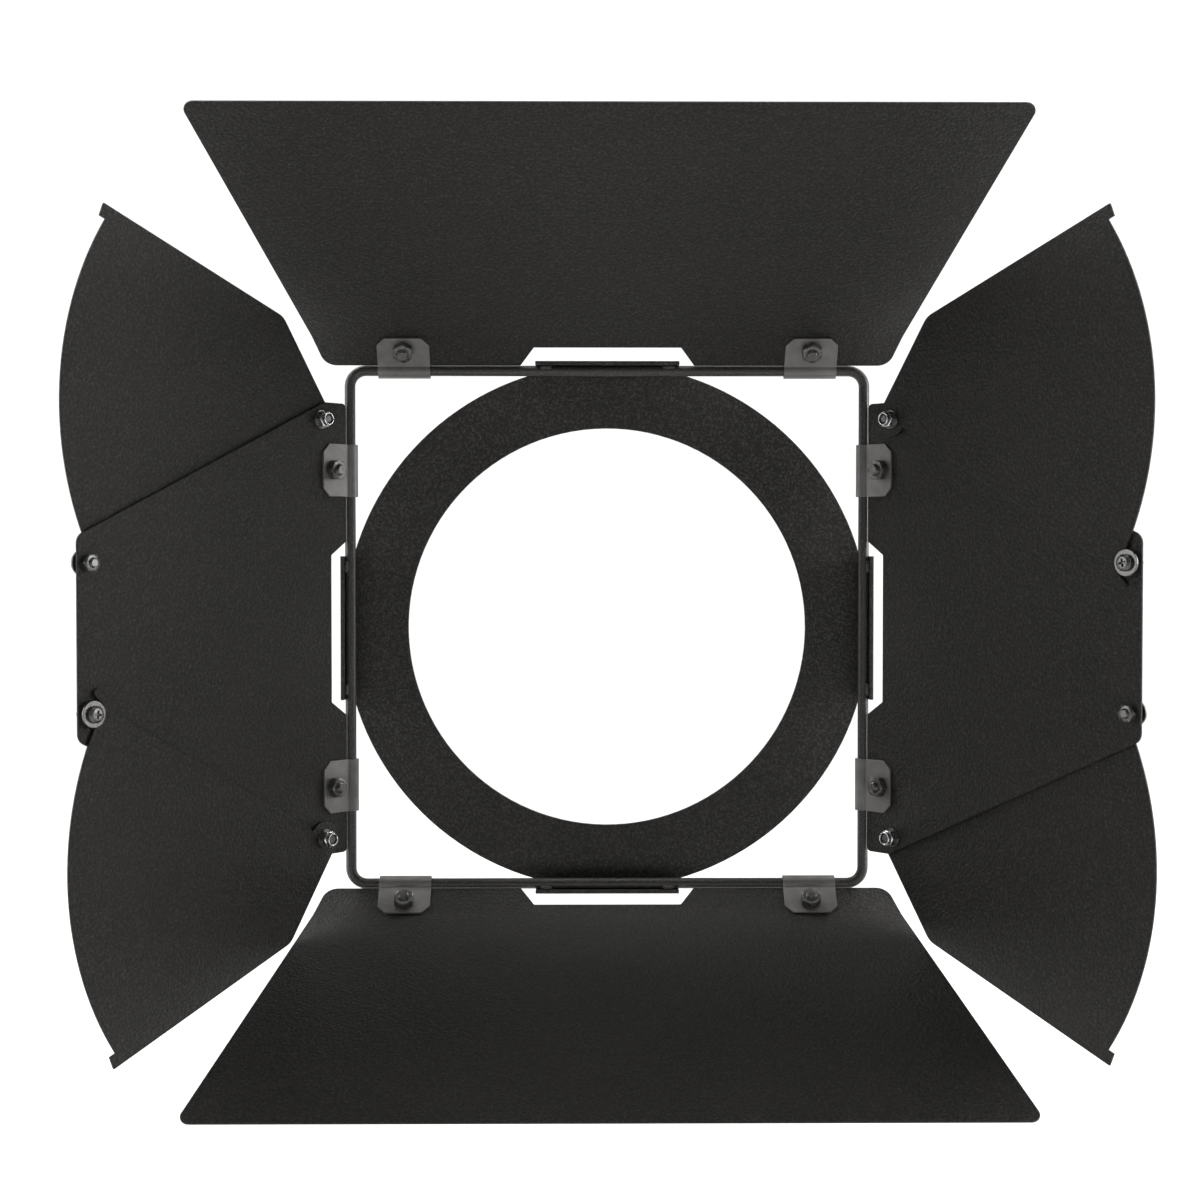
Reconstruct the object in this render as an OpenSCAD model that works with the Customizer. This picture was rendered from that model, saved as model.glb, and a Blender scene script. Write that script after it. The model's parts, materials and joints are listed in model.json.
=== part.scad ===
// Eight-leaf barn door attachment for a stage lantern: a ring plate with a wire
// frame, four hinged leaves and four sector flaps that swing on the side leaves.
// Frame: +Z up, the beam leaves towards -Y, origin at the centre of the aperture
// on the rear face of the ring plate. Lengths are in millimetres.

/* [Ring plate] */
// Outer diameter of the ring plate
ring_d = 200; // [198:0.5:202]
// Diameter of the light aperture
aperture_d = 151; // [140:1:156]
// Sheet thickness of the ring plate
ring_t = 1.5; // [1:0.1:2]
// Width of the four forward tabs
tab_w = 54; // [40:1:56]
// How far the tabs reach forward of the rear face
tab_reach = 13; // [12.5:0.5:15]

/* [Wire frame] */
// Diameter of the round frame rod
rod_d = 4; // [3.5:0.1:4.2]
// Distance from the rear face of the ring to the rod's centre
rod_y = 10; // [9:0.5:11]
// Centre-line radius of the frame corners
frame_bend_r = 6; // [5:0.5:9]

/* [Leaves] */
// Sheet thickness of leaves and flaps
leaf_t = 1; // [0.8:0.1:1.2]
// Opening angle of the top leaf, from the ring's plane
top_angle = 47.8; // [40:0.5:54]
// Opening angle of the bottom leaf, from the ring's plane
bottom_angle = 59.5; // [50:0.5:62]
// Opening angle of the two side leaves, from the ring's plane
side_angle = 50; // [44:0.5:51]
// Length of the top and bottom leaves, from the rod's centre
leaf_len = 118; // [110:0.5:130]
// Half width of the top and bottom leaves at the rod
leaf_base_w = 104.6; // [102:0.1:104.8]
// Half width of the top and bottom leaves at the far edge
leaf_far_w = 143.2; // [130:0.1:143.5]
// Width of the bent base flange, from the rod's centre
flange_len = 15.2; // [15.2:0.1:17]
// Bend between the base flange and the rest of the leaf
flange_bend = 12; // [8:1:16]
// Length of the side leaves, from the rod's centre
door_len = 122.8; // [120:0.1:124]
// Half width of a side leaf at the rod
door_base_w = 84; // [82:0.5:85]
// Half width of a side leaf at the far edge
door_far_w = 34; // [32:0.5:36]

/* [Sector flaps] */
// Distance from the rod's centre to the flap pivot
pivot_u = 15; // [14.5:0.1:16]
// Distance from the beam's axis to the flap pivot
pivot_v = 77.6; // [76:0.1:78]
// Radius of the flap's arc about its pivot
flap_r = 113; // [110:0.5:113.2]
// Distance from the pivot to the flap's outer edge
flap_edge_gap = 27.8; // [24:0.1:29]
// Gap between a flap and its leaf, the thickness of the washer between them
flap_gap = 0.4; // [0.4:0.1:0.6]

/* [Fasteners] */
// Half spacing of the hinge clips on the top and bottom leaves
leaf_clip_v = 76; // [70:0.5:80]
// Half spacing of the hinge clips on the side leaves
door_clip_v = 59; // [56:0.5:60]
// Sheet thickness of the hinge clips
clip_t = 0.9; // [0.7:0.1:1]
// Distance from the rod's centre to a clip screw
clip_screw_u = 9.6; // [9:0.1:10]
// Distance from the rod's centre to a stop screw
stop_u = 118.3; // [118:0.1:119]
// Distance from the beam's axis to a stop screw
stop_v = 25; // [24:0.1:26]

/* [Hidden] */
$fn = 64;
rod_r = rod_d / 2;
half = ring_d / 2 - ring_t - rod_r;          // beam axis to the rod's centre
fit = 0.05;                                  // running clearance on rods and bolts
gap = 0.05;                                  // play under heads and nuts
leaf_start = rod_r + 0.5;                    // a leaf's base edge clears the rod
over = 1;                                    // how far a cut runs past its surface
// ring tabs: depth of the cut that frees them, width of the strip they stand on
tab_cut = 8;
tab_foot = 12;
tab_fillet = 1.5;
weld_r = 0.95;
weld_len = 4.6;
weld_v = 23;                                 // beam axis to a weld's middle
weld_in = 0.45;                              // a weld's middle from the tab's inner face
weld_rise = 1.95;                            // and from the rod's centre, towards the beam
weld_seat = 0.01;                            // a weld stops this far from the rod's skin
// flaps
ear_r = 6.4;                                 // outline round the pivot
flap_corner_r = 7;
flap_rise = 21.3;                            // direction of the outer edge
flap_side = 56;                              // direction of the inner side
flap_start = -29.3;                          // where the arc starts
tab_len = 4.6;
tab_width = 4.7;
tab_root = 4;                                // how far the finger runs into the flap
tab_tip_r = 1;
hook_len = 8.8;
hook_w = 2.8;
hook_dir = -43;
hook_root = 4.3;                             // how far inside the arc the hook starts
// clips
clip_len = 19.5;
clip_reach = 14.6;
clip_cut = 3;                                // corner cut of a clip
// leaves
notch_w = 27.4;                              // half width of the gap at a ring tab
notch_mouth = 32.5;                          // half width of that gap at the base edge
notch_depth = 10.2;
door_notch_depth = 10;
base_corner_r = 6;
far_corner_r = 3.5;
door_top_u = 13.5;                           // where a side leaf starts to taper
door_radii = [2, 5, 4, 4, 5, 2];             // corners of a side leaf, in outline order
leaf_rise = (leaf_far_w - leaf_base_w) / leaf_len;
// M3 and M4 fasteners
m3_r = 1.5;
m4_r = 2;
m3_nut_af = 5.5;
m3_nut_h = 2.4;
m4_nut_af = 7;
m4_nut_h = 3.2;
m4_head_r = 3.8;
m4_head_h = 2.4;
m4_head_edge = 0.7;                          // bevel on the head's rim
m4_recess = [4, 0.9, 2.4];                   // one slot of the cross recess
m4_tail = 4.4;                               // thread beyond the clip
m3_head_r = 2.8;
m3_head_h = 2;
m3_recess = [3, 0.7, 3.6];
m3_tail = 3.6;
lock_nut_h = 2.6;                            // hexagon of the lock nut
lock_collar_r = 2.4;
lock_collar_h = 4;
pivot_washer_r = 3.5;
pivot_washer_t = 0.5;
stop_washer_r = 4.5;
stop_washer_t = 0.8;
stop_spacer_r = 2.5;
stop_head_r = 2.9;
stop_head_h = 1.3;
stop_dome_r = 2.2;
stop_dome_h = 0.7;
stop_recess = [3.2, 0.7, 2.4];
stop_tail = 3.4;

function polar(r, a) = [r * cos(a), r * sin(a)];
function unit(v) = v / norm(v);

// ---------- placing ----------

// a hinge frame: x runs out along the leaf, y along the rod, z faces the beam
module hinge_frame(turn, angle)
  rotate([0, turn, 0]) translate([half, -rod_y, 0]) rotate([90, 0, -angle])
    children();

module top_frame(angle = top_angle) hinge_frame(-90, angle) children();
module bottom_frame(angle = bottom_angle) hinge_frame(90, angle) children();
module left_frame() hinge_frame(180, side_angle) children();
module right_frame() hinge_frame(0, side_angle) children();

module pair(v) for (s = [-1, 1]) translate([0, s * v, 0]) children();

// a sheet of thickness t on a flat outline, centred on z = 0
module sheet(t) translate([0, 0, -t / 2]) linear_extrude(t) children();

// an outline whose convex corners are rounded, each by its own radius
module rounded(points, radii) {
  n = len(points);
  ends = [for (i = [0:n - 1]) [unit(points[(i + n - 1) % n] - points[i]),
    unit(points[(i + 1) % n] - points[i])]];
  turn = [for (e = ends) acos(e[0] * e[1]) / 2];
  polygon([for (i = [0:n - 1]) each radii[i] > 0
    ? [for (e = ends[i]) points[i] + e * radii[i] / tan(turn[i])] : [points[i]]]);
  for (i = [0:n - 1]) if (radii[i] > 0)
    translate(points[i] + unit(ends[i][0] + ends[i][1]) * radii[i] / sin(turn[i]))
      circle(r = radii[i]);
}

module hex_prism(af, h) cylinder(d = af / cos(30), h = h, $fn = 6);

// ---------- ring plate and wire frame ----------

module tab_bend() {
  // the tab's foot, rounded on the outside
  translate([-tab_w / 2, -ring_d / 2, 0]) difference() {
    cube([tab_w, tab_foot, tab_reach]);
    translate([-over, ring_t, ring_t]) cube([tab_w + 2 * over, tab_foot, tab_reach]);
    difference() {
      translate([-over, -over, -over])
        cube([tab_w + 2 * over, tab_fillet + over, tab_fillet + over]);
      translate([-2 * over, tab_fillet, tab_fillet]) rotate([0, 90, 0])
        cylinder(r = tab_fillet, h = tab_w + 4 * over);
    }
  }
}

module ring_plate() color("#26262a") rotate([90, 0, 0]) {
  difference() {
    union() {
      difference() {
        cylinder(d = ring_d, h = ring_t, $fn = 180);
        for (a = [0:90:270]) rotate(a)
          translate([-tab_w / 2, -ring_d / 2 - over, -over])
            cube([tab_w, tab_cut + over, ring_t + 2 * over]);
      }
      for (a = [0:90:270]) rotate(a) tab_bend();
    }
    translate([0, 0, -over]) cylinder(d = aperture_d, h = ring_t + 2 * over, $fn = 180);
  }
}

// a fillet in the front corner between the rod and a ring tab
module weld_bead() rotate([0, 90, 0]) difference() {
  translate([-weld_rise, weld_in - rod_r, 0])
    cylinder(r = weld_r, h = weld_len, center = true, $fn = 24);
  cylinder(r = rod_r + weld_seat, h = weld_len + 2 * over, center = true);
  translate([-3 * rod_r, -3 * rod_r, -weld_len])
    cube([6 * rod_r, 2 * rod_r, 2 * weld_len]);
}

module weld_beads() color("#303034") rotate([90, 0, 0])
  for (a = [0:90:270], s = [-1, 1]) rotate(a)
    translate([s * weld_v, -half, rod_y]) weld_bead();

module wire_frame() color("#2b2b2f") translate([0, -rod_y, 0]) rotate([90, 0, 0]) {
  straight = 2 * (half - frame_bend_r);
  for (a = [0:90:270]) rotate(a) {
    translate([half, 0, 0]) rotate([90, 0, 0])
      cylinder(r = rod_r, h = straight, center = true);
    translate([half - frame_bend_r, half - frame_bend_r, 0])
      rotate_extrude(angle = 90) translate([frame_bend_r, 0]) circle(r = rod_r);
  }
}

// ---------- hinge clips ----------

// one P-shaped clip: it wraps the rod and grips the leaf between its two plies
module clip_profile() {
  difference() {
    union() {
      circle(r = rod_r + fit + clip_t);
      translate([0, -leaf_t / 2 - clip_t])
        square([clip_reach, leaf_t + 2 * clip_t]);
    }
    circle(r = rod_r + fit);
    translate([0, -leaf_t / 2]) square([clip_reach + over, leaf_t]);
  }
}

module clip() {
  difference() {
    rotate([90, 0, 0]) linear_extrude(clip_len, center = true) clip_profile();
    for (s = [-1, 1]) translate([clip_reach, s * clip_len / 2, 0])
      rotate(45) cube([clip_cut * sqrt(2), clip_cut * sqrt(2), 9], center = true);
    translate([clip_screw_u, 0, 0]) cylinder(r = m4_r, h = 9, center = true, $fn = 32);
  }
}

module cross_recess(slot) for (a = [0, 90]) rotate(a) cube(slot, center = true);

module clip_screw() translate([clip_screw_u, 0, 0]) {
  grip = leaf_t / 2 + clip_t;
  translate([0, 0, -grip]) cylinder(r = m4_r, h = 2 * grip + m4_tail, $fn = 32);
  difference() {
    translate([0, 0, -grip - m4_head_h]) union() {
      translate([0, 0, m4_head_edge])
        cylinder(r = m4_head_r, h = m4_head_h - m4_head_edge, $fn = 48);
      cylinder(r1 = m4_head_r - m4_head_edge, r2 = m4_head_r, h = m4_head_edge,
        $fn = 48);
    }
    translate([0, 0, -grip - m4_head_h - 0.1]) cross_recess(m4_recess);
  }
}

module clip_nut() translate([clip_screw_u, 0, leaf_t / 2 + clip_t]) difference() {
  hex_prism(m4_nut_af, m4_nut_h);
  translate([0, 0, -over]) cylinder(r = m4_r, h = m4_nut_h + 2 * over, $fn = 32);
}

// ---------- top and bottom leaves ----------

function leaf_w(u) = leaf_base_w + leaf_rise * u;

module flange_outline() difference() {
  rounded([[leaf_start, -leaf_w(leaf_start)], [flange_len, -leaf_w(flange_len)],
    [flange_len, leaf_w(flange_len)], [leaf_start, leaf_w(leaf_start)]],
    [base_corner_r, 0, 0, base_corner_r]);
  notch_outline(notch_depth);
}

// the gap in a leaf's base edge that clears a ring tab
module notch_outline(depth)
  polygon([[0, -notch_mouth - over], [leaf_start, -notch_mouth], [depth, -notch_w],
    [depth, notch_w], [leaf_start, notch_mouth], [0, notch_mouth + over]]);

module far_outline() {
  far = leaf_len - flange_len;
  rounded([[0, -leaf_w(flange_len)], [far, -leaf_w(leaf_len)],
    [far, leaf_w(leaf_len)], [0, leaf_w(flange_len)]],
    [0, far_corner_r, far_corner_r, 0]);
}

module plain_leaf() difference() {
  union() {
    rotate([0, flange_bend, 0]) sheet(leaf_t) flange_outline();
    rotate([0, flange_bend, 0]) translate([flange_len, 0, 0])
      rotate([0, -flange_bend, 0]) sheet(leaf_t) far_outline();
    rotate([0, flange_bend, 0]) translate([flange_len, 0, 0]) rotate([90, 0, 0])
      cylinder(r = leaf_t / 2, h = 2 * leaf_w(flange_len), center = true, $fn = 24);
  }
  rotate([0, flange_bend, 0]) pair(leaf_clip_v) translate([clip_screw_u, 0, 0])
    cylinder(r = m4_r, h = 9, center = true, $fn = 32);
}

// the clips lie on the flange, which is bent back from the leaf
module on_flange() rotate([0, flange_bend, 0]) pair(leaf_clip_v) children();

module top_leaf() color("#232327") top_frame() plain_leaf();
module top_clips() color("#3c3c40") top_frame() on_flange() clip();
module top_clip_screws() color("#48484c") top_frame() on_flange() clip_screw();
module top_clip_nuts() color("#37373b") top_frame() on_flange() clip_nut();

module bottom_leaf() color("#232327") bottom_frame() plain_leaf();
module bottom_clips() color("#3c3c40") bottom_frame() on_flange() clip();
module bottom_clip_screws() color("#48484c") bottom_frame() on_flange() clip_screw();
module bottom_clip_nuts() color("#37373b") bottom_frame() on_flange() clip_nut();

// ---------- side leaves ----------

module door_outline() difference() {
  rounded([[leaf_start, -door_base_w], [door_top_u, -door_base_w],
    [door_len, -door_far_w], [door_len, door_far_w],
    [door_top_u, door_base_w], [leaf_start, door_base_w]],
    door_radii);
  notch_outline(door_notch_depth);
}

module door_leaf() difference() {
  sheet(leaf_t) door_outline();
  pair(door_clip_v) translate([clip_screw_u, 0, 0])
    cylinder(r = m4_r, h = 5, center = true, $fn = 32);
  pair(pivot_v) translate([pivot_u, 0, 0])
    cylinder(r = m3_r, h = 5, center = true, $fn = 32);
  pair(stop_v) translate([stop_u, 0, 0])
    cylinder(r = m3_r, h = 5, center = true, $fn = 32);
}

module left_leaf() color("#232327") left_frame() door_leaf();
module left_clips() color("#3c3c40") left_frame() pair(door_clip_v) clip();
module left_clip_screws() color("#48484c") left_frame() pair(door_clip_v) clip_screw();
module left_clip_nuts() color("#37373b") left_frame() pair(door_clip_v) clip_nut();

module right_leaf() color("#232327") right_frame() door_leaf();
module right_clips() color("#3c3c40") right_frame() pair(door_clip_v) clip();
module right_clip_screws() color("#48484c") right_frame() pair(door_clip_v) clip_screw();
module right_clip_nuts() color("#37373b") right_frame() pair(door_clip_v) clip_nut();

// ---------- sector flaps ----------

// the flap about its pivot, for the side where y runs away from the beam's axis
module flap_outline() {
  edge_n = polar(1, flap_rise + 90);
  side_n = polar(1, flap_side + 90);
  // where the outer edge and the inner side meet, inset by the corner radius
  a = flap_edge_gap - flap_corner_r;
  b = ear_r - flap_corner_r;
  det = edge_n[0] * side_n[1] - edge_n[1] * side_n[0];
  c = [(a * side_n[1] - b * edge_n[1]) / det, (edge_n[0] * b - side_n[0] * a) / det];
  difference() {
    union() {
      circle(r = ear_r, $fn = 48);
      translate(c) circle(r = flap_corner_r, $fn = 48);
      intersection() {
        circle(r = flap_r, $fn = 180);
        polygon([[0, 0], polar(ear_r, flap_start), polar(130, flap_start),
          polar(150, 2), polar(flap_edge_gap, flap_rise + 90) + polar(150, flap_rise),
          c + flap_corner_r * edge_n, c + flap_corner_r * side_n,
          polar(ear_r, flap_side + 90)]);
      }
    }
    circle(r = m3_r + fit, $fn = 32);
  }
}

// finger at the outer end of the arc, which meets the stop as the flap folds in
module flap_tab() {
  reach = sqrt(flap_r * flap_r - flap_edge_gap * flap_edge_gap);
  rotate(flap_rise) translate([reach - tab_root, flap_edge_gap - tab_width]) {
    straight = tab_root + tab_len - tab_tip_r;
    square([straight, tab_width]);
    translate([straight - 2 * tab_tip_r, 0])
      square([2 * tab_tip_r, tab_width - tab_tip_r]);
    translate([straight - tab_tip_r, tab_width - tab_tip_r])
      circle(r = tab_tip_r, $fn = 32);
  }
}

// small hook at the inner end of the arc, which meets the stop as it swings out
module flap_hook()
  translate(polar(flap_r - hook_root, flap_start - 0.2)) rotate(hook_dir) {
    translate([0, -hook_w / 2]) square([hook_len, hook_w]);
    translate([hook_len, 0]) circle(r = hook_w / 2, $fn = 32);
  }

module flap() sheet(leaf_t) {
  flap_outline();
  flap_tab();
  flap_hook();
}

flap_z = leaf_t + flap_gap;   // offset of a flap's middle from its leaf's middle

module front_flap() translate([pivot_u, pivot_v, flap_z]) flap();
module rear_flap() translate([pivot_u, -pivot_v, -flap_z]) mirror([0, 1, 0]) flap();

module left_front_flap() color("#242428") left_frame() front_flap();
module left_rear_flap() color("#242428") left_frame() rear_flap();
module right_front_flap() color("#242428") right_frame() front_flap();
module right_rear_flap() color("#242428") right_frame() rear_flap();

// ---------- flap pivots ----------

// s = 1 for the pivot of the front flap, -1 for that of the rear flap
stack_lo = [for (s = [-1, 1]) s > 0 ? -leaf_t / 2 : -flap_z - leaf_t / 2 - gap];
stack_hi = [for (s = [-1, 1]) s > 0 ? flap_z + leaf_t / 2 + gap : leaf_t / 2];

module at_pivot(s) translate([pivot_u, s * pivot_v, 0]) children();

module pivot_bolts() for (i = [0, 1]) at_pivot(2 * i - 1) {
  translate([0, 0, stack_lo[i]]) cylinder(r = m3_r,
    h = stack_hi[i] - stack_lo[i] + pivot_washer_t + m3_tail, $fn = 32);
  translate([0, 0, stack_lo[i] - m3_head_h]) difference() {
    cylinder(r = m3_head_r, h = m3_head_h, $fn = 48);
    translate([0, 0, -over]) cross_recess(m3_recess);
  }
}

// lock nut: a hexagon with a round collar
module pivot_nuts() for (i = [0, 1]) at_pivot(2 * i - 1)
  translate([0, 0, stack_hi[i] + pivot_washer_t]) difference() {
    union() {
      hex_prism(m3_nut_af, lock_nut_h);
      cylinder(r = lock_collar_r, h = lock_collar_h, $fn = 48);
    }
    translate([0, 0, -over]) cylinder(r = m3_r, h = lock_collar_h + 2 * over, $fn = 32);
  }

module washer(r, t) difference() {
  cylinder(r = r, h = t, $fn = 48);
  translate([0, 0, -over]) cylinder(r = m3_r, h = t + 2 * over, $fn = 32);
}

// one washer under the lock nut, one between the leaf and its flap
module pivot_washers() for (i = [0, 1]) at_pivot(2 * i - 1) {
  translate([0, 0, stack_hi[i]]) washer(pivot_washer_r, pivot_washer_t);
  translate([0, 0, i == 1 ? leaf_t / 2 : -leaf_t / 2 - flap_gap + gap])
    washer(pivot_washer_r, flap_gap - gap);
}

module left_pivot_bolts() color("#8e9094") left_frame() pivot_bolts();
module left_pivot_nuts() color("#c4c6ca") left_frame() pivot_nuts();
module left_pivot_washers() color("#3a3a3e") left_frame() pivot_washers();
module right_pivot_bolts() color("#8e9094") right_frame() pivot_bolts();
module right_pivot_nuts() color("#c4c6ca") right_frame() pivot_nuts();
module right_pivot_washers() color("#3a3a3e") right_frame() pivot_washers();

// ---------- flap stops ----------

spacer_h = leaf_t + 2 * flap_gap;

// the stop's parts, with z running out of the leaf on the flap's side
module at_stops() for (s = [-1, 1]) translate([stop_u, s * stop_v, 0])
  rotate([s > 0 ? 0 : 180, 0, 0]) children();

module stop_spacers() at_stops() translate([0, 0, leaf_t / 2])
  washer(stop_spacer_r, spacer_h);

module stop_washers() at_stops() translate([0, 0, leaf_t / 2 + spacer_h])
  washer(stop_washer_r, stop_washer_t);

module stop_screws() at_stops() {
  top = leaf_t / 2 + spacer_h + stop_washer_t;
  translate([0, 0, -leaf_t / 2 - stop_tail])
    cylinder(r = m3_r, h = top + leaf_t / 2 + stop_tail, $fn = 32);
  translate([0, 0, top]) difference() {
    union() {
      cylinder(r = stop_head_r, h = stop_head_h, $fn = 48);
      translate([0, 0, stop_head_h])
        cylinder(r1 = stop_head_r, r2 = stop_dome_r, h = stop_dome_h, $fn = 48);
    }
    translate([0, 0, stop_head_h + stop_dome_h]) cross_recess(stop_recess);
  }
}

module stop_nuts() at_stops() translate([0, 0, -leaf_t / 2 - m3_nut_h]) difference() {
  hex_prism(m3_nut_af, m3_nut_h);
  translate([0, 0, -over]) cylinder(r = m3_r, h = m3_nut_h + 2 * over, $fn = 32);
}

module left_stop_screws() color("#4a4a4e") left_frame() stop_screws();
module left_stop_washers() color("#3a3a3e") left_frame() stop_washers();
module left_stop_spacers() color("#3a3a3e") left_frame() stop_spacers();
module left_stop_nuts() color("#3f3f43") left_frame() stop_nuts();
module right_stop_screws() color("#4a4a4e") right_frame() stop_screws();
module right_stop_washers() color("#3a3a3e") right_frame() stop_washers();
module right_stop_spacers() color("#3a3a3e") right_frame() stop_spacers();
module right_stop_nuts() color("#3f3f43") right_frame() stop_nuts();

ring_plate();
weld_beads();
wire_frame();
top_leaf();
top_clips();
top_clip_screws();
top_clip_nuts();
bottom_leaf();
bottom_clips();
bottom_clip_screws();
bottom_clip_nuts();
left_leaf();
left_clips();
left_clip_screws();
left_clip_nuts();
left_pivot_bolts();
left_pivot_nuts();
left_pivot_washers();
left_stop_screws();
left_stop_washers();
left_stop_spacers();
left_stop_nuts();
left_front_flap();
left_rear_flap();
right_leaf();
right_clips();
right_clip_screws();
right_clip_nuts();
right_pivot_bolts();
right_pivot_nuts();
right_pivot_washers();
right_stop_screws();
right_stop_washers();
right_stop_spacers();
right_stop_nuts();
right_front_flap();
right_rear_flap();
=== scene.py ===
"""Looks of the barn door attachment: finishes, fine hardware detail, floor, light and camera.

Metres, in the frame of the CAD model: +Z up, the beam leaves towards -Y, and the
origin is at the centre of the aperture on the rear face of the ring plate.
"""
import json
import math

import bmesh
import bpy
from mathutils import Euler, Matrix, Vector

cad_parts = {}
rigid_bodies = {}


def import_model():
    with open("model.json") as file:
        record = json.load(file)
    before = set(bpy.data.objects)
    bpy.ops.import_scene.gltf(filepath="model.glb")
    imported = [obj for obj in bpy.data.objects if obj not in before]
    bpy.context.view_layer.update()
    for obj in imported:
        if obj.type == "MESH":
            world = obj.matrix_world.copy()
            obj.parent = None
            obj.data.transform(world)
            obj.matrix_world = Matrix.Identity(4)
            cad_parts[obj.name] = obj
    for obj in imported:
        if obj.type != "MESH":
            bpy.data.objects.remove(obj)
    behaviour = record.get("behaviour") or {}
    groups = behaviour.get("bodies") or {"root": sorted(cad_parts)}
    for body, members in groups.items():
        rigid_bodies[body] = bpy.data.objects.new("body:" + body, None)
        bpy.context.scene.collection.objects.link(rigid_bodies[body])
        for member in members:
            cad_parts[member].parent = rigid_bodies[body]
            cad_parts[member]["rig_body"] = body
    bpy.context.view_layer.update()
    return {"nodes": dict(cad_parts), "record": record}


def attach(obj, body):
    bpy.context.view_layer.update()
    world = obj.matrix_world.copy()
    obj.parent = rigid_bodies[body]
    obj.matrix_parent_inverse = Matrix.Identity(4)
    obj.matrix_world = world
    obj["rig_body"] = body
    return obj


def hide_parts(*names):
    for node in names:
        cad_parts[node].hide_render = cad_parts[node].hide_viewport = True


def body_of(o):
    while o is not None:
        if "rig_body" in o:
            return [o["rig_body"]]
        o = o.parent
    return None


MM = 0.001

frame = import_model()
nodes = frame["nodes"]


# ---------- camera ----------

CAMERA_AT = Vector((-9.2, -759.6, 28.4)) * MM
CAMERA_DOWN = 1.367          # degrees below the horizon
CAMERA_RIGHT = 0.495         # degrees to the right of +Y
SENSOR = 36.0
LENS = 59.76


def make_camera():
    data = bpy.data.cameras.new("camera")
    data.sensor_width = SENSOR
    data.lens = LENS
    data.clip_start = 0.01
    data.clip_end = 50.0
    camera = bpy.data.objects.new("camera", data)
    camera.location = CAMERA_AT
    turn = (math.radians(90 - CAMERA_DOWN), 0.0, -math.radians(CAMERA_RIGHT))
    camera.rotation_euler = Euler(turn)
    bpy.context.scene.collection.objects.link(camera)
    bpy.context.scene.camera = camera


# ---------- node graphs ----------

EDGE_SAMPLES = 6
EDGE_STARTS = 0.02           # how far the rounded normal leans where an edge's mask starts
EDGE_FULL = 0.22             # and where the mask is full


class Graph:
    """A material's node tree, with short calls for the nodes used here."""

    def __init__(self, name):
        self.material = bpy.data.materials.new(name)
        self.material.use_nodes = True
        self.tree = self.material.node_tree
        self.shader = self.tree.nodes["Principled BSDF"]
        self.place = self.add("ShaderNodeTexCoord").outputs["Object"]

    def add(self, kind, **settings):
        node = self.tree.nodes.new(kind)
        for key, value in settings.items():
            setattr(node, key, value)
        return node

    def join(self, source, target):
        self.tree.links.new(source, target)

    def feed(self, socket, value):
        if isinstance(value, bpy.types.NodeSocket):
            self.join(value, socket)
        else:
            socket.default_value = value

    def stretched(self, scale):
        node = self.add("ShaderNodeMapping")
        self.join(self.place, node.inputs["Vector"])
        node.inputs["Scale"].default_value = scale
        return node.outputs["Vector"]

    def noise(self, size_mm, detail=2.0, rough=0.5, vector=None):
        """Fractal noise whose features are about size_mm across."""
        node = self.add("ShaderNodeTexNoise")
        self.join(vector or self.place, node.inputs["Vector"])
        node.inputs["Scale"].default_value = 1 / (size_mm * MM)
        node.inputs["Detail"].default_value = detail
        node.inputs["Roughness"].default_value = rough
        return node.outputs["Fac"]

    def cells(self, size_mm):
        node = self.add("ShaderNodeTexVoronoi")
        self.join(self.place, node.inputs["Vector"])
        node.inputs["Scale"].default_value = 1 / (size_mm * MM)
        return node.outputs["Distance"]

    def ramp(self, value, low, high, to_low=0.0, to_high=1.0):
        node = self.add("ShaderNodeMapRange")
        self.join(value, node.inputs["Value"])
        node.inputs["From Min"].default_value = low
        node.inputs["From Max"].default_value = high
        node.inputs["To Min"].default_value = to_low
        node.inputs["To Max"].default_value = to_high
        return node.outputs["Result"]

    def math(self, operation, a, b):
        node = self.add("ShaderNodeMath", operation=operation)
        self.feed(node.inputs[0], a)
        self.feed(node.inputs[1], b)
        return node.outputs[0]

    def mix(self, factor, a, b):
        node = self.add("ShaderNodeMix", data_type="RGBA")
        # a Mix node has sockets of every kind: these are the ones for colours
        self.feed(node.inputs["Factor"], factor)
        self.feed(node.inputs[6], a)
        self.feed(node.inputs[7], b)
        return node.outputs[2]

    def bump(self, height, depth_mm, strength=1.0, normal=None):
        node = self.add("ShaderNodeBump")
        node.inputs["Strength"].default_value = strength
        node.inputs["Distance"].default_value = depth_mm * MM
        self.join(height, node.inputs["Height"])
        if normal is not None:
            self.join(normal, node.inputs["Normal"])
        return node.outputs["Normal"]

    def edges(self, radius_mm):
        """(rounded normal, mask that is 1 on sharp edges) within radius_mm of an edge."""
        bevel = self.add("ShaderNodeBevel", samples=EDGE_SAMPLES)
        bevel.inputs["Radius"].default_value = radius_mm * MM
        dot = self.add("ShaderNodeVectorMath", operation="DOT_PRODUCT")
        self.join(bevel.outputs["Normal"], dot.inputs[0])
        self.join(self.add("ShaderNodeNewGeometry").outputs["Normal"], dot.inputs[1])
        turned = self.math("SUBTRACT", 1.0, dot.outputs["Value"])
        return bevel.outputs["Normal"], self.ramp(turned, EDGE_STARTS, EDGE_FULL)

    def finish(self, colour, roughness, normal, metallic, specular=0.5):
        self.shader.inputs["Specular IOR Level"].default_value = specular
        self.join(colour, self.shader.inputs["Base Color"])
        self.join(roughness, self.shader.inputs["Roughness"])
        self.join(normal, self.shader.inputs["Normal"])
        self.feed(self.shader.inputs["Metallic"], metallic)
        return self.material


def shade(rgb, factor):
    return (rgb[0] * factor, rgb[1] * factor, rgb[2] * factor, 1.0)


# ---------- materials ----------

WORN_STEEL = (0.23, 0.225, 0.22)


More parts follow.
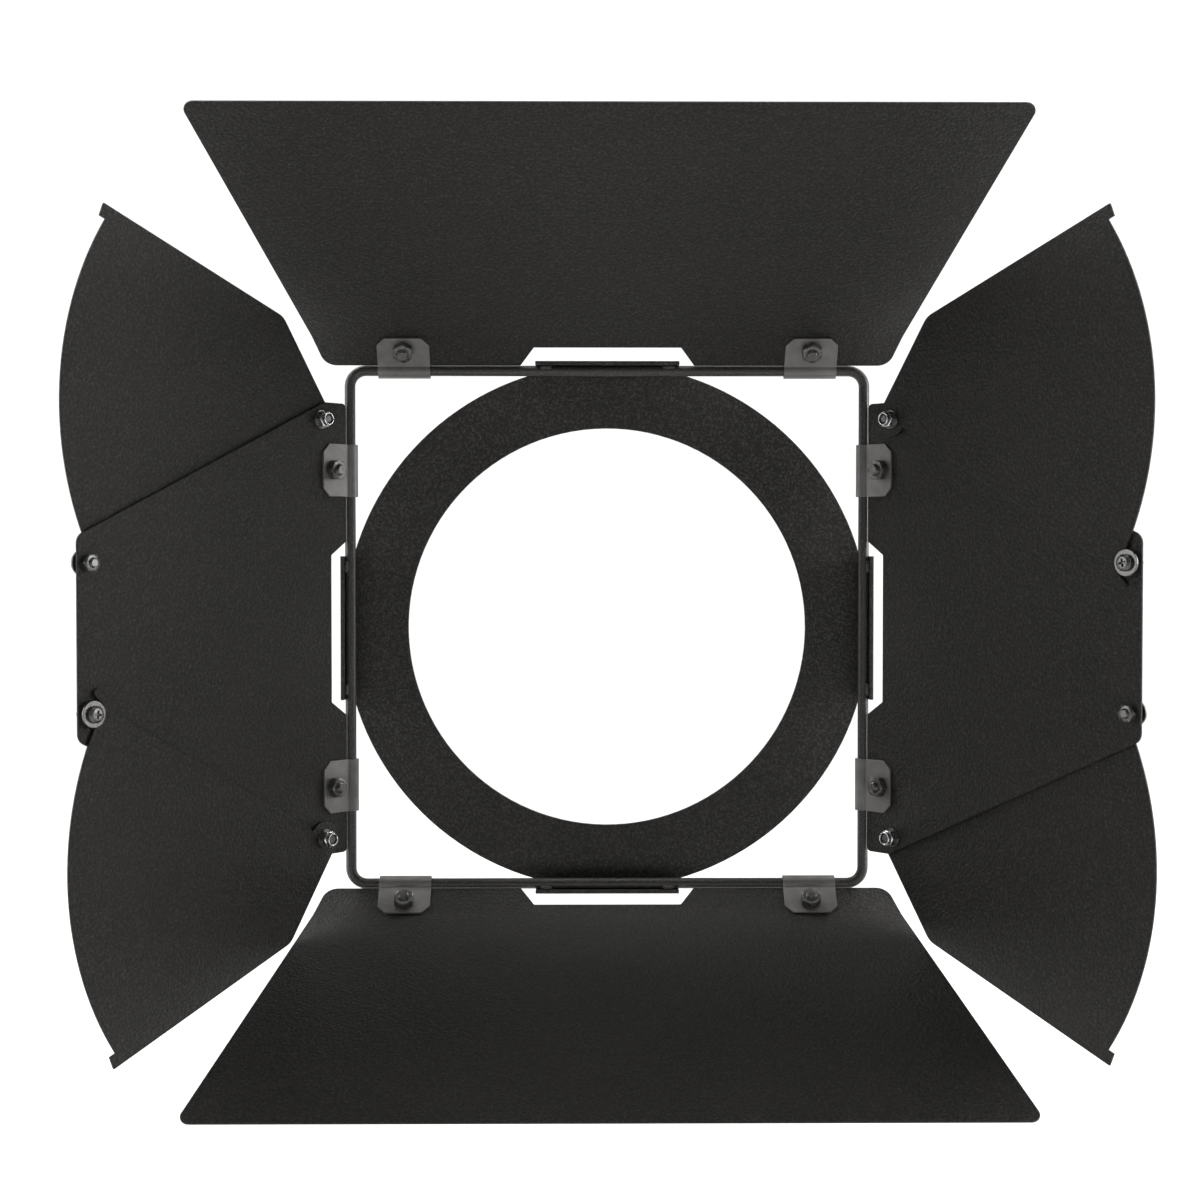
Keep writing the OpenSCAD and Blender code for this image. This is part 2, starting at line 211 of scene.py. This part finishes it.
def powder_coat(name, rgb, roughness, grain_mm, depth_mm, wear, specular):
    """Fine-texture powder coat: a sandy grain over a soft orange peel, rubbed on the edges."""
    g = Graph(name)
    rounded, edge = g.edges(0.45)
    cloud = g.noise(38, detail=4.0, rough=0.55)
    peel = g.noise(3.2, detail=2.0, rough=0.5)
    grain = g.noise(grain_mm, detail=4.0, rough=0.7)
    pits = g.cells(grain_mm * 1.3)
    # colour: broad handling marks, and painted glints on the tops of the grain
    base = g.mix(g.ramp(cloud, 0.3, 0.7), shade(rgb, 0.66), shade(rgb, 0.98))
    # painted highlight: where the grain stands highest the coat is painted pale, as glints
    base_with_painted_glints = g.mix(g.ramp(grain, 0.47, 0.70, 0.0, 1.0), base, shade(rgb, 3.4))
    # wear: only the highest part of a ragged noise breaks through on the edges
    ragged = g.ramp(g.noise(1.3, detail=4.0, rough=0.7), 0.60 - wear, 0.74 - wear)
    rubbed = g.math("MULTIPLY", edge, ragged)
    colour = g.mix(rubbed, base_with_painted_glints, shade(WORN_STEEL, 1.0))
    soft = g.math("ADD", g.ramp(cloud, 0.25, 0.75, roughness - 0.05, roughness + 0.07),
                  g.ramp(grain, 0.35, 0.65, -0.07, 0.07))
    rough = g.math("SUBTRACT", soft, g.math("MULTIPLY", rubbed, 0.18))
    height = g.math("ADD", grain, g.math("MULTIPLY", pits, 0.55))
    normal = g.bump(peel, 0.03, 0.5, g.bump(height, depth_mm, 0.9, rounded))
    return g.finish(colour, rough, normal, g.math("MULTIPLY", rubbed, 0.7), specular)


def phosphate(name, rgb):
    """Satin grey phosphate on spring strip, with faint drawn lines and bare corners."""
    g = Graph(name)
    rounded, edge = g.edges(0.25)
    cloud = g.noise(9, detail=3.0, rough=0.6)
    crystal = g.noise(0.16, detail=2.0, rough=0.6)
    lines = g.noise(0.9, detail=2.0, rough=0.6, vector=g.stretched((1.0, 1.0, 9.0)))
    base = g.mix(g.ramp(cloud, 0.3, 0.7), shade(rgb, 0.8), shade(rgb, 1.3))
    rubbed = g.math("MULTIPLY", edge, g.ramp(g.noise(0.8, detail=3.0, rough=0.7), 0.42, 0.62))
    colour = g.mix(rubbed, base, shade(WORN_STEEL, 1.25))
    rough = g.ramp(lines, 0.3, 0.7, 0.36, 0.50)
    normal = g.bump(lines, 0.006, 0.5, g.bump(crystal, 0.008, 0.8, rounded))
    return g.finish(colour, rough, normal, g.ramp(rubbed, 0.0, 1.0, 0.35, 0.9))


def black_oxide(name, rgb):
    """Oiled black oxide on machined steel, with bare steel on the corners of a nut."""
    g = Graph(name)
    rounded, edge = g.edges(0.18)
    cloud = g.noise(2.6, detail=3.0, rough=0.6)
    tool = g.noise(0.12, detail=3.0, rough=0.7)
    base = g.mix(g.ramp(cloud, 0.3, 0.7), shade(rgb, 0.7), shade(rgb, 1.5))
    rubbed = g.math("MULTIPLY", edge, g.ramp(g.noise(0.5, detail=3.0, rough=0.7), 0.38, 0.58))
    colour = g.mix(rubbed, base, shade(WORN_STEEL, 1.5))
    rough = g.ramp(cloud, 0.25, 0.75, 0.22, 0.36)
    normal = g.bump(tool, 0.006, 0.7, rounded)
    return g.finish(colour, rough, normal, g.ramp(rubbed, 0.0, 1.0, 0.75, 1.0))


def zinc(name, rgb, roughness):
    """Bright zinc plate: a blue passivate with dull spots and fine turning marks."""
    g = Graph(name)
    rounded, edge = g.edges(0.18)
    cloud = g.noise(1.8, detail=3.0, rough=0.6)
    spots = g.ramp(g.noise(0.7, detail=4.0, rough=0.7), 0.56, 0.70)
    tool = g.noise(0.10, detail=2.0, rough=0.6)
    base = g.mix(g.ramp(cloud, 0.3, 0.7), shade(rgb, 0.84), shade(rgb, 1.04))
    dulled = g.mix(g.math("MULTIPLY", spots, 0.5), base, (0.44, 0.43, 0.40, 1.0))
    # painted highlight: every edge is lightened towards near-white, by the same amount all along
    colour = g.mix(g.math("MULTIPLY", edge, 0.4), dulled, (0.86, 0.87, 0.88, 1.0))
    rough = g.math("ADD", g.ramp(cloud, 0.25, 0.75, roughness - 0.05, roughness + 0.06),
                   g.math("MULTIPLY", spots, 0.16))
    normal = g.bump(tool, 0.004, 0.6, rounded)
    return g.finish(colour, rough, normal, 1.0)


def nylon_black():
    """Dark moulded nylon with a dull, slightly scuffed face."""
    g = Graph("lock_nut_nylon")
    rounded = g.edges(0.08)[0]
    cloud = g.noise(0.9, detail=3.0, rough=0.6)
    colour = g.mix(g.ramp(cloud, 0.3, 0.7), (0.010, 0.011, 0.014, 1.0), (0.022, 0.024, 0.030, 1.0))
    rough = g.ramp(cloud, 0.3, 0.7, 0.45, 0.6)
    return g.finish(colour, rough, g.bump(cloud, 0.01, 0.5, rounded), 0.0)


SLOTS = {
    "ring_black": powder_coat("ring_black", (0.0270, 0.0256, 0.0232), roughness=0.46,
                              grain_mm=0.9, depth_mm=0.36, wear=0.03, specular=0.36),
    "rod_black": powder_coat("rod_black", (0.030, 0.0285, 0.0260), roughness=0.36,
                             grain_mm=0.6, depth_mm=0.06, wear=0.03, specular=0.5),
    "leaf_black": powder_coat("leaf_black", (0.0165, 0.0156, 0.0140), roughness=0.42,
                              grain_mm=0.9, depth_mm=0.50, wear=0.04, specular=0.25),
    "clip_grey": phosphate("clip_grey", (0.165, 0.160, 0.153)),
    "fastener_dark": black_oxide("fastener_dark", (0.105, 0.103, 0.100)),
    "lock_nut_zinc": zinc("lock_nut_zinc", (0.82, 0.82, 0.81), roughness=0.24),
    "bolt_zinc": zinc("bolt_zinc", (0.16, 0.16, 0.165), roughness=0.42),
}
NYLON = nylon_black()        # the rings in the lock nuts have no slot of their own


def dress_nodes():
    """Every CAD node gets the finish of its slot."""
    for part in frame["record"]["subparts"]:
        for slot in nodes[part["node"]].material_slots:
            slot.material = SLOTS[part["material_slot"]]


# ---------- mesh helpers ----------

JOIN = 0.002 * MM            # CAD triangles share corners within this
SIDES = 36                   # points round a turned part, a whole number for each flat of a nut
SMOOTH_BELOW = math.radians(32)     # faces that meet at less than this are shaded as one
SLOT_OF = {part["node"]: part["material_slot"] for part in frame["record"]["subparts"]}
BODY_OF = {name: body_of(node)[0] for name, node in nodes.items()}


def joined(name):
    """A CAD node's mesh in the row frame, with shared corners joined."""
    bm = bmesh.new()
    bm.from_mesh(nodes[name].data)
    bm.transform(nodes[name].matrix_world)
    bmesh.ops.remove_doubles(bm, verts=bm.verts, dist=JOIN)
    return bm


def loose_parts(bm):
    """The corners of each separate solid in a mesh, in the mesh's own order."""
    found = set()
    for first in bm.verts:
        if first in found:
            continue
        found.add(first)
        part = [first]
        for corner in part:
            for edge in corner.link_edges:
                other = edge.other_vert(corner)
                if other not in found:
                    found.add(other)
                    part.append(other)
        yield part


def add_piece(title, bm, node, slot, material=None, stands_for=True):
    """Makes a finished piece from bm that moves with a CAD node."""
    mesh = bpy.data.meshes.new(title)
    bmesh.ops.recalc_face_normals(bm, faces=bm.faces)
    bm.to_mesh(mesh)
    bm.free()
    for face in mesh.polygons:
        face.use_smooth = True
    mesh.set_sharp_from_angle(angle=SMOOTH_BELOW)
    piece = bpy.data.objects.new(title, mesh)
    mesh.materials.append(material or SLOTS[slot])
    bpy.context.scene.collection.objects.link(piece)
    modifier = piece.modifiers.new("normals", "WEIGHTED_NORMAL")
    modifier.keep_sharp = True
    if stands_for:
        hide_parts(node)
    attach(piece, BODY_OF[node])
    return piece


# ---------- softened sheet metal ----------

SHEET_EDGE = 0.25 * MM       # radius that blasting and the coat leave on a cut edge
STRIP_EDGE = 0.12 * MM       # the same on clips, washers and spacers
EDGE_SEGMENTS = 3
SHARP = math.radians(30)     # a bend of more than this is an edge to round
FLAT_WITHIN = math.radians(0.3)     # CAD triangles flatter than this become one face
SHEETS = ("ring_plate", "top_leaf", "bottom_leaf", "left_leaf", "right_leaf",
          "left_front_flap", "left_rear_flap", "right_front_flap", "right_rear_flap")
BENT = ("top_leaf", "bottom_leaf")
BEND_DETAIL = 0.3 * MM       # edges shorter than this, in a bend, are too fine to round
STRIPS = ("top_clips", "bottom_clips", "left_clips", "right_clips", "left_pivot_washers",
          "right_pivot_washers", "left_stop_washers", "right_stop_washers",
          "left_stop_spacers", "right_stop_spacers")


def soften(name, radius):
    """A copy of a CAD node with its cut edges rounded."""
    bm = joined(name)
    bmesh.ops.dissolve_limit(bm, angle_limit=FLAT_WITHIN, use_dissolve_boundaries=False,
                             verts=bm.verts, edges=bm.edges, delimit=set())
    cut = [e for e in bm.edges if e.is_manifold and e.calc_face_angle(0) > SHARP]
    if name in BENT:
        cut = [e for e in cut if e.calc_length() > BEND_DETAIL]
    bmesh.ops.bevel(bm, geom=cut, offset=radius, offset_type="OFFSET", segments=EDGE_SEGMENTS,
                    profile=0.5, affect="EDGES", clamp_overlap=False)
    add_piece(name + "_softened", bm, name, SLOT_OF[name])


# ---------- screws and nuts ----------

LEVEL_GAP = 0.03 * MM        # CAD corners nearer than this along a screw are on one level
SAME_WAY = 0.999             # cosine of the angle between faces taken to lie one way
M4_R = 2.0 * MM
M3_R = 1.5 * MM
M4_PITCH = 0.7 * MM
M3_PITCH = 0.5 * MM
# threads
THREADED = 3.2 * MM          # length of thread modelled from the tip
THREAD_RINGS = 10            # rings of points to a turn
THREAD_DEPTH = 0.61          # of the pitch
FLANK = 1.3                  # a flank's slope, which leaves the crest flat
ROOT = 0.12                  # how far the form is sunk, which leaves the root flat
CREST = 0.995                # of the CAD shank's radius
PLAIN = 0.985                # the same where the shank isn't threaded
# heads, as shares of the CAD head's radius and height
HEAD_STEP = 1.05             # a level this much wider than the shank is the head's underside
HEAD_UNDER = 0.96            # radius of the underside
HEAD_LIP = 0.05              # height at which the head is widest
HEAD_SIDE = 0.42             # height at which its dome starts
HEAD_FLAT = 0.60             # radius of its flat top
DOME_RINGS = 8
# cross recess
RECESS_REACH = 0.50          # of the head's radius
RECESS_ARM = 0.25            # half width of an arm, of the reach
RECESS_DEPTH = 0.62          # of the reach
RECESS_TAPER = 0.5           # size of its floor, of its mouth
FIRST_TURN = 0.5             # where the first screw's recess points
NEXT_TURN = 1.9              # and how much further each next one is turned
# nuts
FLAT = math.pi / 3           # angle between the corners of a hexagon
CORNER = 0.985               # of the CAD corner's radius, where a corner is taken off
FACE = 0.95                  # radius of a nut's face, of its half width across flats
CHAMFER = math.pi / 6
LEAD = 0.25 * MM             # countersink at each end of a thread
# lock nuts
COLLAR_FOOT = 1.06           # of the collar's radius, where it meets the hexagon
ROLL_RINGS = 7
ROLL_TURN = 0.62 * math.pi   # how far the collar's wall is rolled over
ROLL_IN = 0.10               # how far it comes in, of the collar's radius
ROLL_HEIGHT = 0.5 * MM
ROLL_LIP = 0.10 * MM         # the lip's inner edge below the top
SEAT = 0.78                  # radius of the nylon's seat, of the collar's
NYLON_INSIDE = 0.02 * MM     # clearance of the nylon from the thread and the seat's floor
NYLON_OUTSIDE = 0.01 * MM    # and from the seat's wall
NYLON_RIM = 0.22 * MM        # the nylon's outer edge below the nut's top
NYLON_CROWN = 0.14 * MM      # its crown
NYLON_MOUTH = 0.30 * MM      # its inner edge


class Turned:
    """One loose CAD solid of hardware: where it stands and how wide it is at each level."""

    def __init__(self, part, wide_end_up):
        sums = []
        # a dict keeps the faces in order, each once, so that every run gives the same piece
        for face in dict.fromkeys(face for corner in part for face in corner.link_faces):
            for entry in sums:
                if abs(entry[0].dot(face.normal)) > SAME_WAY:
                    entry[1] += face.calc_area()
                    break
            else:
                sums.append([face.normal.copy(), face.calc_area()])
        self.axis = max(sums, key=lambda entry: entry[1])[0]
        self.measure(part)
        if (self.levels[-1][1] > self.levels[0][1]) != wide_end_up:
            self.axis = -self.axis
            self.measure(part)

    def measure(self, part):
        across = self.axis.orthogonal().normalized()
        up = self.axis.cross(across)
        x = [corner.co.dot(across) for corner in part]
        y = [corner.co.dot(up) for corner in part]
        middle = ((min(x) + max(x)) / 2, (min(y) + max(y)) / 2)
        start = min(corner.co.dot(self.axis) for corner in part)
        self.levels = []
        widest = 0.0
        for corner in sorted(part, key=lambda corner: corner.co.dot(self.axis)):
            height = corner.co.dot(self.axis) - start
            dx = corner.co.dot(across) - middle[0]
            dy = corner.co.dot(up) - middle[1]
            radius = math.hypot(dx, dy)
            if self.levels and height - self.levels[-1][0] < LEVEL_GAP:
                self.levels[-1][1] = max(self.levels[-1][1], radius)
            else:
                self.levels.append([height, radius])
            if radius > widest:
                widest = radius
                self.corner = math.atan2(dy, dx)
        base = across * middle[0] + up * middle[1] + self.axis * start
        self.place = Matrix.Translation(base) @ Matrix((across, up, self.axis)).transposed().to_4x4()
        self.height = self.levels[-1][0]
        self.radius = widest


def ring(height, radius, turn=0.0):
    """SIDES points round the z axis. radius is a number or a function of the angle."""
    points = []
    for i in range(SIDES):
        angle = 2 * math.pi * i / SIDES
        r = radius(angle) if callable(radius) else radius
        points.append(Vector((r * math.cos(angle + turn), r * math.sin(angle + turn), height)))
    return points


def skin(bm, rings, place, closed):
    """Quads from ring to ring. closed joins the last ring to the first; if not, the first is capped."""
    loops = [[bm.verts.new(place @ point) for point in points] for points in rings]
    pairs = list(zip(loops, loops[1:]))
    if closed:
        pairs.append((loops[-1], loops[0]))
    else:
        bm.faces.new(reversed(loops[0]))
    for a, b in pairs:
        for i in range(SIDES):
            j = (i + 1) % SIDES
            bm.faces.new((a[i], a[j], b[j], b[i]))
    return loops[-1]


def thread_radius(height, major, pitch):
    """Radius round a thread at one height: sloping flanks, a flat crest and a chamfered tip."""
    depth = THREAD_DEPTH * pitch

    def at(angle):
        phase = (height / pitch - angle / (2 * math.pi)) % 1
        form = min(1.0, max(0.0, FLANK * abs(2 * phase - 1) - ROOT))
        return min(major - depth * (1 - form), major - depth + height)
    return at


def cross_recess(bm, rim, place, top, reach, turn):
    """Closes the flat top of a head inside rim, round a tapered cross slot."""
    arm = RECESS_ARM * reach
    depth = RECESS_DEPTH * reach
    loops = []
    for scale, height in ((1.0, top), (RECESS_TAPER, top - depth)):
        loop = []
        for quarter in range(4):
            angle = turn + quarter * math.pi / 2
            for along, side in ((reach, -arm), (reach, arm), (arm, arm)):
                x = scale * (along * math.cos(angle) - side * math.sin(angle))
                y = scale * (along * math.sin(angle) + side * math.cos(angle))
                loop.append(bm.verts.new(place @ Vector((x, y, height))))
        loops.append(loop)
    upper, lower = loops
    edges = [bm.edges.get((rim[i], rim[i - 1])) for i in range(SIDES)]
    for i in range(len(upper)):
        bm.faces.new((upper[i - 1], upper[i], lower[i], lower[i - 1]))
        edges.append(bm.edges.get((upper[i - 1], upper[i])))
    bm.faces.new(lower)
    bmesh.ops.triangle_fill(bm, use_beauty=True, edges=edges)


def screw(bm, solid, pitch, turn):
    """A pan head screw with a cross recess and a cut thread, tip at the bottom."""
    shank = solid.levels[0][1]
    under = next(height for height, radius in solid.levels if radius > HEAD_STEP * shank)
    head_height = solid.height - under
    steps = int(THREADED / (pitch / THREAD_RINGS))
    rings = []
    for i in range(steps + 1):
        height = THREADED * i / steps
        rings.append(ring(height, thread_radius(height, CREST * shank, pitch)))
    rings.append(ring(THREADED + pitch / 2, PLAIN * shank))
    rings.append(ring(under, PLAIN * shank))
    rings.append(ring(under, HEAD_UNDER * solid.radius))
    rings.append(ring(under + HEAD_LIP * head_height, solid.radius))
    for i in range(DOME_RINGS):
        angle = math.pi / 2 * i / (DOME_RINGS - 1)
        radius = solid.radius * (HEAD_FLAT + (1 - HEAD_FLAT) * math.cos(angle))
        rise = HEAD_SIDE + (1 - HEAD_SIDE) * math.sin(angle)
        rings.append(ring(under + head_height * rise, radius))
    rim = skin(bm, rings, solid.place, False)
    cross_recess(bm, rim, solid.place, solid.height, RECESS_REACH * solid.radius, turn)


def hexagon(corner):
    """Radius of a hexagon at an angle from one of its corners, with the corners just taken off."""
    def at(angle):
        flat = corner * math.cos(FLAT / 2) / math.cos(angle % FLAT - FLAT / 2)
        return min(CORNER * corner, flat)
    return at


def face_radius(corner):
    """Radius of the round face that the chamfer leaves on a nut."""
    return FACE * corner * math.cos(FLAT / 2)


def chamfered(corner, height, sense, turn):
    """A hexagon's edge ring where the chamfer meets the flats. sense is 1 for a bottom edge."""
    outline = hexagon(corner)
    points = ring(0.0, outline, turn)
    for i, point in enumerate(points):
        drop = (outline(2 * math.pi * i / SIDES) - face_radius(corner)) * math.tan(CHAMFER)
        point.z = height + sense * drop
    return points


def nut_foot(solid, bore):
    """The rings from the thread's lower end out to the hexagon's bottom edge."""
    turn = solid.corner
    return [ring(LEAD, bore, turn), ring(0.0, bore + LEAD, turn),
            ring(0.0, face_radius(solid.radius), turn), chamfered(solid.radius, 0.0, 1, turn)]


def hex_nut(bm, solid, bore):
    """A plain nut, chamfered on both faces and countersunk at both ends of its thread."""
    top = solid.height
    turn = solid.corner
    rings = nut_foot(solid, bore)
    rings += [chamfered(solid.radius, top, -1, turn), ring(top, face_radius(solid.radius), turn),
              ring(top, bore + LEAD, turn), ring(top - LEAD, bore, turn)]
    skin(bm, rings, solid.place, True)


def lock_nut(bm, nylon, solid, bore):
    """A lock nut: a chamfered hexagon, and a collar rolled in over a nylon ring."""
    collar = solid.levels[-1][1]
    hexagon_top = solid.levels[-2][0]
    top = solid.height
    turn = solid.corner
    seat = SEAT * collar
    rings = nut_foot(solid, bore)
    rings += [chamfered(solid.radius, hexagon_top, -1, turn),
              ring(hexagon_top, COLLAR_FOOT * collar, turn)]
    for i in range(ROLL_RINGS):
        angle = ROLL_TURN * i / (ROLL_RINGS - 1)
        radius = collar - ROLL_IN * collar * (1 - math.cos(angle))
        below = ROLL_HEIGHT * (1 - math.sin(min(angle, math.pi / 2)))
        rings.append(ring(top - below, radius, turn))
    rings += [ring(top - ROLL_LIP, seat, turn), ring(hexagon_top, seat, turn),
              ring(hexagon_top, bore, turn)]
    skin(bm, rings, solid.place, True)
    nylon_ring(nylon, solid.place, hexagon_top, top, bore, seat)


def nylon_ring(bm, place, floor, top, bore, seat):
    """The crowned ring in a lock nut's collar, which grips the thread."""
    inner = bore + NYLON_INSIDE
    outer = seat - NYLON_OUTSIDE
    low = floor + NYLON_INSIDE
    skin(bm, [ring(low, inner), ring(low, outer), ring(top - NYLON_RIM, outer),
              ring(top - NYLON_CROWN, (inner + outer) / 2), ring(top - NYLON_MOUTH, inner)],
         place, True)


def make_screws(name, pitch):
    source = joined(name)
    bm = bmesh.new()
    for i, part in enumerate(loose_parts(source)):
        screw(bm, Turned(part, True), pitch, FIRST_TURN + NEXT_TURN * i)
    source.free()
    add_piece(name + "_threaded", bm, name, SLOT_OF[name])


def make_nuts(name, bore):
    source = joined(name)
    bm = bmesh.new()
    for part in loose_parts(source):
        hex_nut(bm, Turned(part, True), bore)
    source.free()
    add_piece(name + "_chamfered", bm, name, SLOT_OF[name])


def make_lock_nuts(name, bore):
    source = joined(name)
    bm = bmesh.new()
    nylon = bmesh.new()
    for part in loose_parts(source):
        lock_nut(bm, nylon, Turned(part, False), bore)
    source.free()
    add_piece(name + "_rolled", bm, name, SLOT_OF[name])
    add_piece(name + "_nylon", nylon, name, "fastener_dark", NYLON, False)


# ---------- welds ----------

WELD_RIPPLES = 5
RIPPLE_RINGS = 8             # rings of points to a ripple
RIPPLE_DEPTH = 0.1           # of the bead's radius
WELD_TIP = 0.02              # square of a bead's radius at its ends, of that at its middle


def weld_bead(bm, part):
    """A short rippled bead that fills the space of a CAD bead, tapered at both ends."""
    low = Vector([min(corner.co[i] for corner in part) for i in range(3)])
    high = Vector([max(corner.co[i] for corner in part) for i in range(3)])
    size = high - low
    length = max(size)
    radius = (size.x + size.y + size.z - length) / 4
    along = Vector([float(extent == length) for extent in size])
    turned = along.to_track_quat("Z", "Y").to_matrix().to_4x4()
    place = Matrix.Translation((low + high) / 2) @ turned
    steps = RIPPLE_RINGS * WELD_RIPPLES
    rings = []
    for i in range(steps + 1):
        t = 2 * i / steps - 1
        taper = math.sqrt(max(WELD_TIP, 1 - t ** 4))
        trough = 1 - abs(math.sin(math.pi * WELD_RIPPLES * (t + 1) / 2))
        ripple = 1 - RIPPLE_DEPTH * trough
        rings.append(ring(t * length / 2, radius * taper * ripple))
    last = skin(bm, rings, place, False)
    bm.faces.new(last)


def make_welds():
    source = joined("weld_beads")
    bm = bmesh.new()
    for part in loose_parts(source):
        weld_bead(bm, part)
    source.free()
    add_piece("weld_beads_rippled", bm, "weld_beads", SLOT_OF["weld_beads"])


def make_details():
    for name in SHEETS:
        soften(name, SHEET_EDGE)
    for name in STRIPS:
        soften(name, STRIP_EDGE)
    for side in ("top", "bottom", "left", "right"):
        make_screws(side + "_clip_screws", M4_PITCH)
        make_nuts(side + "_clip_nuts", M4_R)
    for side in ("left", "right"):
        make_screws(side + "_pivot_bolts", M3_PITCH)
        make_lock_nuts(side + "_pivot_nuts", M3_R)
        make_screws(side + "_stop_screws", M3_PITCH)
        make_nuts(side + "_stop_nuts", M3_R)
    make_welds()


# ---------- stage ----------

FLOOR_DROP = 0.222           # the opened bottom leaf still clears the floor
FLOOR_FRONT = -3.0           # where the floor starts, in front of the object
SWEEP_R = 0.8                # radius of the bend from floor to wall
SWEEP_STEPS = 24
WALL_Y = 2.4                 # where the wall stands, behind the object
WALL_H = 3.2
STAGE_W = 5.0                # half width of floor and wall


def pale_paper():
    g = Graph("studio_paper")
    speck = g.noise(1.5, detail=3.0, rough=0.6)
    drift = g.noise(420, detail=2.0, rough=0.5)
    colour = g.mix(g.ramp(drift, 0.3, 0.7), (0.86, 0.86, 0.855, 1.0), (0.89, 0.89, 0.885, 1.0))
    rough = g.ramp(speck, 0.3, 0.7, 0.82, 0.9)
    return g.finish(colour, rough, g.bump(speck, 0.02, 0.3), 0.0)


def make_floor():
    """A pale sheet that runs along the floor and sweeps up behind the object."""
    line = [(FLOOR_FRONT, -FLOOR_DROP)]
    for i in range(SWEEP_STEPS + 1):
        angle = math.pi / 2 * i / SWEEP_STEPS
        line.append((WALL_Y - SWEEP_R + SWEEP_R * math.sin(angle),
                     -FLOOR_DROP + SWEEP_R - SWEEP_R * math.cos(angle)))
    line.append((WALL_Y, WALL_H))
    mesh = bpy.data.meshes.new("floor")
    points = [(x, y, z) for y, z in line for x in (-STAGE_W, STAGE_W)]
    faces = [(2 * i, 2 * i + 1, 2 * i + 3, 2 * i + 2) for i in range(len(line) - 1)]
    mesh.from_pydata(points, [], faces)
    for face in mesh.polygons:
        face.use_smooth = True
    floor = bpy.data.objects.new("floor", mesh)
    mesh.materials.append(pale_paper())
    bpy.context.scene.collection.objects.link(floor)


# name, place, target, width and height in metres, power in watts
SOFTBOXES = [
    ("side_right", (1.65, -0.12, 0.32), (0.0, -0.05, 0.0), 0.9, 0.9, 26.0),
    ("side_left", (-1.65, -0.12, 0.3), (0.0, -0.05, 0.0), 0.9, 0.9, 14.0),
    ("overhead", (0.0, -0.25, 1.5), (0.0, -0.05, 0.0), 1.3, 1.0, 7.0),
    ("overhead_left", (-0.6, 0.25, 1.25), (-0.1, -0.08, -0.12), 0.4, 0.4, 7.5),
    ("overhead_right", (0.6, 0.25, 1.25), (0.1, -0.08, -0.12), 0.4, 0.4, 5.5),
    ("front", (0.0, -1.7, 0.25), (0.0, 0.0, 0.0), 0.9, 0.7, 1.1),
    ("backdrop_left", (-1.7, 0.75, 1.5), (-0.2, 2.3, 0.1), 1.2, 1.2, 30.0),
    ("backdrop_right", (1.7, 0.75, 1.5), (0.2, 2.3, 0.1), 1.2, 1.2, 31.0),
]
ROOM_FILL = 0.03             # light that the room gives the object
ROOM_SEEN = 0.9              # brightness of the room behind the floor


def make_lights():
    for name, place, target, width, height, power in SOFTBOXES:
        data = bpy.data.lights.new(name, "AREA")
        data.shape = "RECTANGLE"
        data.size = width
        data.size_y = height
        data.energy = power
        light = bpy.data.objects.new(name, data)
        light.location = place
        aim = Vector(target) - Vector(place)
        light.rotation_euler = aim.to_track_quat("-Z", "Y").to_euler()
        light.visible_camera = False
        bpy.context.scene.collection.objects.link(light)
    world = bpy.data.worlds.new("studio")
    world.use_nodes = True
    background = world.node_tree.nodes["Background"]
    background.inputs["Color"].default_value = (1.0, 1.0, 1.0, 1.0)
    # a pale studio beyond the floor, which gives the object only a little light
    seen = world.node_tree.nodes.new("ShaderNodeLightPath")
    strength = world.node_tree.nodes.new("ShaderNodeMapRange")
    strength.inputs["To Min"].default_value = ROOM_FILL
    strength.inputs["To Max"].default_value = ROOM_SEEN
    world.node_tree.links.new(seen.outputs["Is Camera Ray"], strength.inputs["Value"])
    world.node_tree.links.new(strength.outputs["Result"], background.inputs["Strength"])
    bpy.context.scene.world = world
    bpy.context.scene.view_settings.view_transform = "Standard"


make_camera()
dress_nodes()
make_details()
make_floor()
make_lights()
